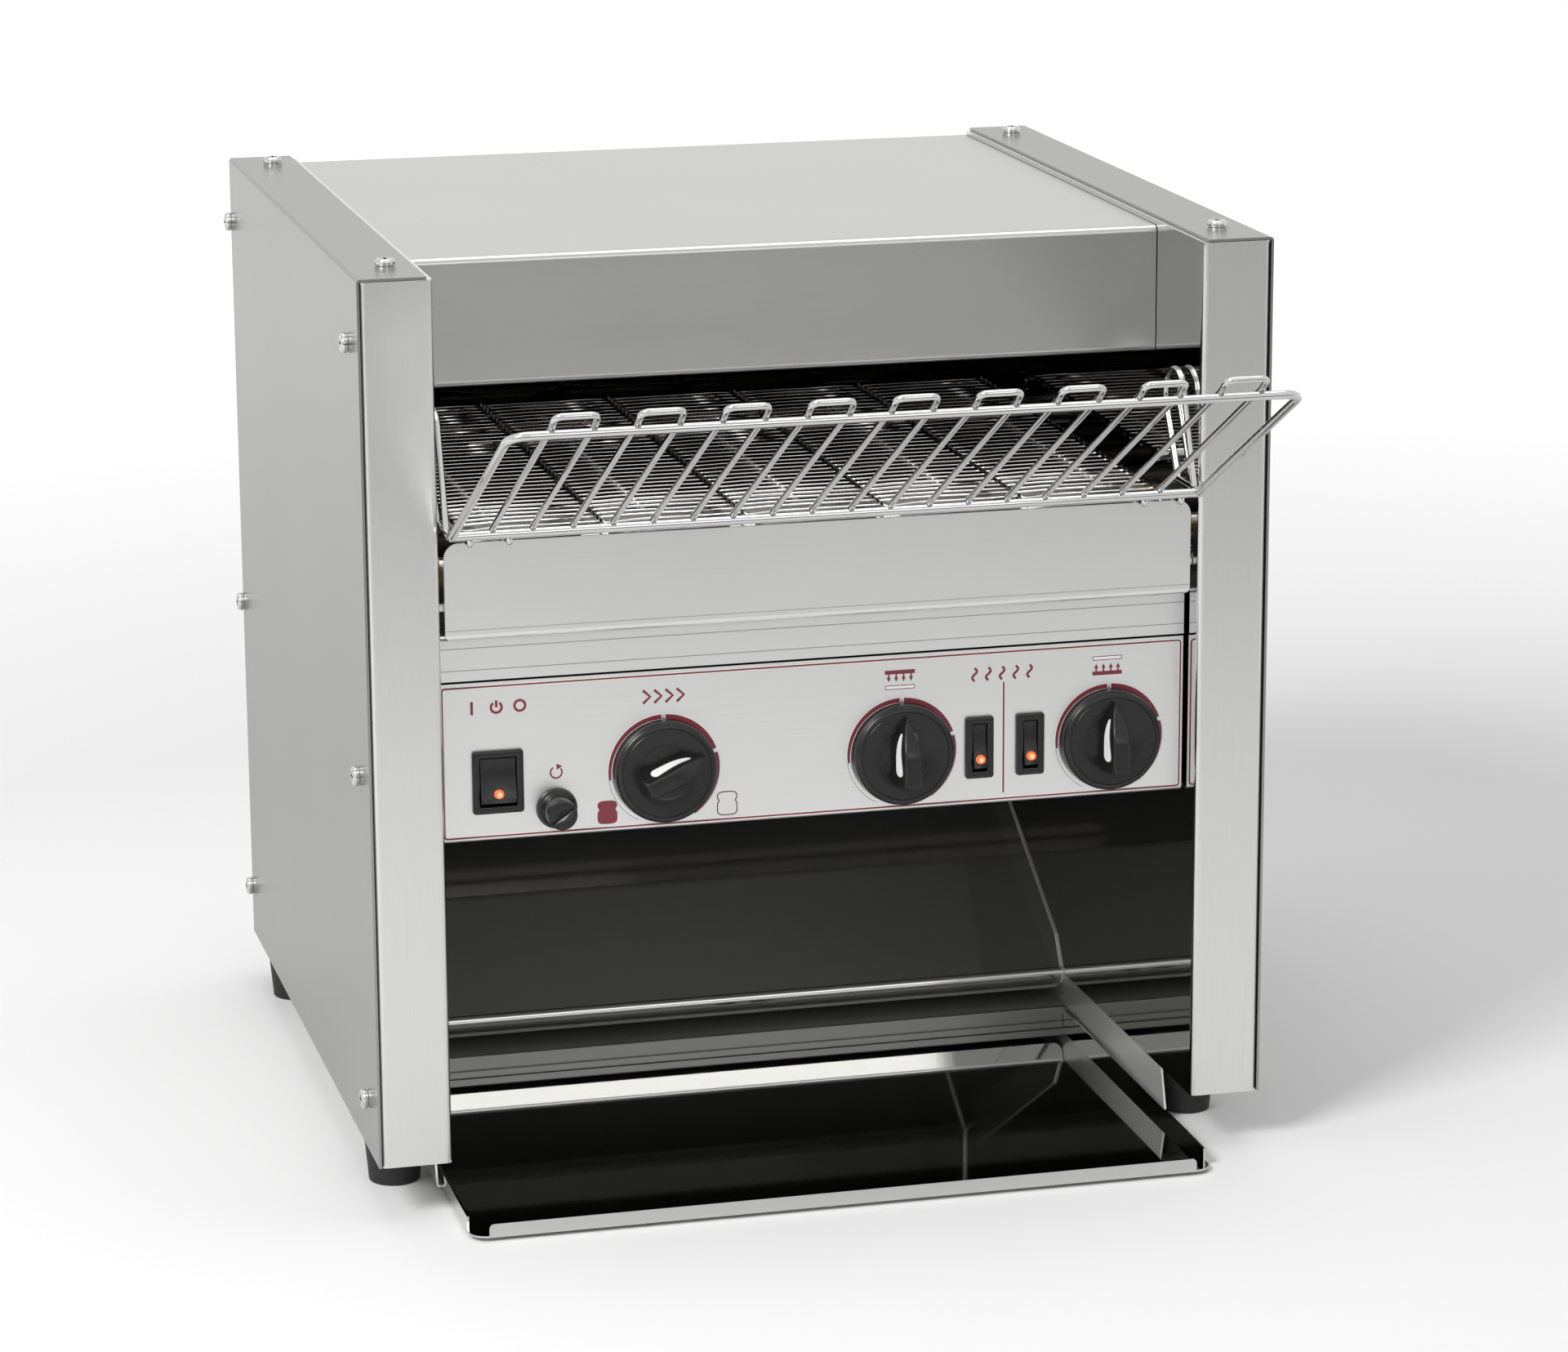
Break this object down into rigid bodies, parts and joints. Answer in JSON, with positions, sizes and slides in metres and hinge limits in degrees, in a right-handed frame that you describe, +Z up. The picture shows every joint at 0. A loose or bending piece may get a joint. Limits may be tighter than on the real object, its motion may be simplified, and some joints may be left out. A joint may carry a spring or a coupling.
{
  "type": "conveyor toaster",
  "caption": "Counter-top conveyor toaster: a wire belt takes bread from a sloping rack through a heated chamber, and toast slides down a chute to a tray under the control box.",
  "frame": {"origin": "centre of the overall box in X and Y, on the surface the feet stand on", "axes": "+X to the right seen from the front, +Y to the back, +Z up"},
  "size_m": [0.4388, 0.5634, 0.4464],
  "materials": {
    "brushed_stainless": "stainless sheet, fine brushed grain",
    "inner_stainless": "stainless sheet, bright inside, darkened by heat",
    "foot_rubber": "moulded black rubber",
    "screw_steel": "zinc plated steel",
    "black_plastic": "moulded, satin",
    "amber_lens": "translucent amber lens",
    "turned_steel": "turned steel",
    "control_housing": "moulded control housing",
    "belt_wire": "stainless wire, drawn",
    "bronze_bush": "sintered bronze",
    "chromed_wire": "bright chromed wire",
    "heater_sheath": "oxidised alloy sheath",
    "heater_ceramic": "unglazed ceramic",
    "motor_paint": "black enamel",
    "drive_steel": "oiled steel"
  },
  "bodies": {
    "case": {"base_plate": "inner_stainless", "belt_front_guard": "brushed_stainless", "belt_support": "belt_wire", "bottom_heat_switch_body": "black_plastic", "cable_gland": "black_plastic", "case_screws": "screw_steel", "control_box_floor": "inner_stainless", "control_box_lid": "brushed_stainless", "control_fascia": "brushed_stainless", "conveyor_belt": "belt_wire", "drive_chain": "drive_steel", "fan_frame": "black_plastic", "front_feet": "foot_rubber", "gearmotor": "motor_paint", "heat_regulators": "control_housing", "heater_holders": "heater_ceramic", "left_side_cover": "brushed_stainless", "left_side_frame": "brushed_stainless", "lower_heaters": "heater_sheath", "lower_reflector": "inner_stainless", "power_switch_body": "black_plastic", "rack_pegs": "chromed_wire", "rear_feet": "foot_rubber", "rear_panel": "brushed_stainless", "right_side_cover": "brushed_stainless", "right_side_frame": "brushed_stainless", "safety_thermostat": "control_housing", "shaft_bushes": "bronze_bush", "speed_control": "control_housing", "terminal_block": "control_housing", "toast_chute": "inner_stainless", "top_heat_switch_body": "black_plastic", "top_hood": "brushed_stainless", "tray_runners": "inner_stainless", "upper_heaters": "heater_sheath", "upper_reflector": "inner_stainless"},
    "speed_knob": {"speed_knob": "black_plastic", "speed_spindle": "turned_steel"},
    "top_heat_knob": {"top_heat_knob": "black_plastic", "top_heat_spindle": "turned_steel"},
    "bottom_heat_knob": {"bottom_heat_knob": "black_plastic", "bottom_heat_spindle": "turned_steel"},
    "power_rocker": {"power_rocker": "black_plastic", "power_lamp": "amber_lens"},
    "top_heat_rocker": {"top_heat_rocker": "black_plastic", "top_heat_lamp": "amber_lens"},
    "bottom_heat_rocker": {"bottom_heat_rocker": "black_plastic", "bottom_heat_lamp": "amber_lens"},
    "reset_cap": {"reset_cap": "black_plastic"},
    "reset_pin": {"reset_pin": "turned_steel"},
    "bread_rack": {"bread_rack": "chromed_wire"},
    "toast_tray": {"toast_tray": "inner_stainless"},
    "rear_drive_shaft": {"rear_shaft": "turned_steel", "rear_rollers": "turned_steel", "shaft_sprocket": "drive_steel"},
    "front_idler_shaft": {"front_shaft": "turned_steel", "front_rollers": "turned_steel"},
    "motor_output": {"motor_shaft": "turned_steel", "motor_sprocket": "drive_steel"},
    "fan_rotor": {"fan_rotor": "black_plastic"}
  },
  "joints": [
    {"name": "speed_knob_turn", "type": "hinge", "parent": "case", "child": "speed_knob", "pos_m": [-0.0739, -0.1093, 0.203], "axis": [0, 1, 0], "range_deg": [-207, 73]},
    {"name": "top_heat_knob_turn", "type": "hinge", "parent": "case", "child": "top_heat_knob", "pos_m": [0.0406, -0.1093, 0.203], "axis": [0, 1, 0], "range_deg": [-140, 140]},
    {"name": "bottom_heat_knob_turn", "type": "hinge", "parent": "case", "child": "bottom_heat_knob", "pos_m": [0.1425, -0.1093, 0.203], "axis": [0, 1, 0], "range_deg": [-140, 140]},
    {"name": "power_rocker_tilt", "type": "hinge", "parent": "case", "child": "power_rocker", "pos_m": [-0.1525, -0.1073, 0.203], "axis": [1, 0, 0], "range_deg": [0, 18]},
    {"name": "top_heat_rocker_tilt", "type": "hinge", "parent": "case", "child": "top_heat_rocker", "pos_m": [0.0784, -0.1073, 0.203], "axis": [1, 0, 0], "range_deg": [0, 18]},
    {"name": "bottom_heat_rocker_tilt", "type": "hinge", "parent": "case", "child": "bottom_heat_rocker", "pos_m": [0.1033, -0.1073, 0.203], "axis": [1, 0, 0], "range_deg": [0, 18]},
    {"name": "reset_cap_unscrew", "type": "slide", "parent": "case", "child": "reset_cap", "axis": [0, -1, 0], "range_m": [0, 0.02]},
    {"name": "reset_pin_press", "type": "slide", "parent": "case", "child": "reset_pin", "axis": [0, 1, 0], "range_m": [0, 0.002], "stiffness_N_per_m": 400},
    {"name": "bread_rack_lift", "type": "slide", "parent": "case", "child": "bread_rack", "axis": [0, 0, 1], "range_m": [0, 0.1]},
    {"name": "toast_tray_slide", "type": "slide", "parent": "case", "child": "toast_tray", "axis": [0, -1, 0], "range_m": [0, 0.2]},
    {"name": "rear_shaft_spin", "type": "hinge", "parent": "case", "child": "rear_drive_shaft", "pos_m": [0, 0.1837, 0.301], "axis": [1, 0, 0], "continuous": true},
    {"name": "front_shaft_spin", "type": "hinge", "parent": "case", "child": "front_idler_shaft", "pos_m": [0, -0.0963, 0.301], "axis": [1, 0, 0], "continuous": true},
    {"name": "motor_output_spin", "type": "hinge", "parent": "case", "child": "motor_output", "pos_m": [0, 0.1167, 0.222], "axis": [1, 0, 0], "continuous": true},
    {"name": "fan_rotor_spin", "type": "hinge", "parent": "case", "child": "fan_rotor", "pos_m": [0.062, -0.0063, 0.185], "axis": [0, 0, 1], "continuous": true}
  ],
  "couplings": [
    {"joint": "front_shaft_spin", "follows": "rear_shaft_spin", "ratio": 1},
    {"joint": "motor_output_spin", "follows": "rear_shaft_spin", "ratio": 1}
  ]
}
